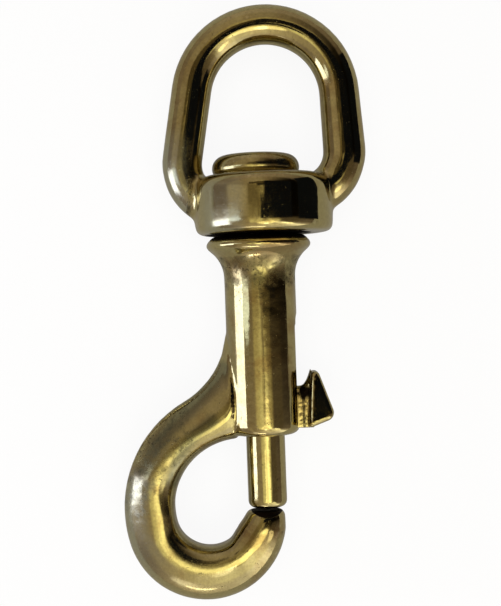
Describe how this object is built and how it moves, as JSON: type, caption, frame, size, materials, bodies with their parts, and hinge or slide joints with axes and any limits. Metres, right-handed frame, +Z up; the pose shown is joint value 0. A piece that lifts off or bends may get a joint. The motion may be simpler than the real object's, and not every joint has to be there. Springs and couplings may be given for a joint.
{
  "type": "swivel snap hook",
  "caption": "Cast brass snap hook with a swivelling strap eye, a barrel with a sprung sliding bolt and thumb lug, and a round hook that the bolt closes.",
  "frame": {"origin": "on the swivel's axis, level with the centre of the eye's crown", "axes": "+Y along the swivel's axis towards the eye's crown, +X across the hook towards the thumb lug, +Z up from the hook's plane as it lies flat"},
  "size_m": [0.0394, 0.0919, 0.0214],
  "materials": {
    "cast_brass": "polished, with a worn brown patina",
    "rivet_brass": "polished, with a worn brown patina",
    "bolt_brass": "polished, rubbed bright",
    "spring_bronze": "drawn wire"
  },
  "bodies": {
    "hook": {"hook_body": "cast_brass", "swivel_rivet": "rivet_brass", "spring": "spring_bronze"},
    "eye": {"swivel_eye": "cast_brass"},
    "bolt": {"bolt": "bolt_brass"}
  },
  "joints": [
    {"name": "eye_swivel", "type": "hinge", "parent": "hook", "child": "eye", "pos_m": [0, -0.0164, 0], "axis": [0, 1, 0], "continuous": true},
    {"name": "bolt_slide", "type": "slide", "parent": "hook", "child": "bolt", "axis": [0, 1, 0], "range_m": [0, 0.0106], "stiffness_N_per_m": 350, "springref_m": -0.012, "deforming": ["spring"]}
  ]
}
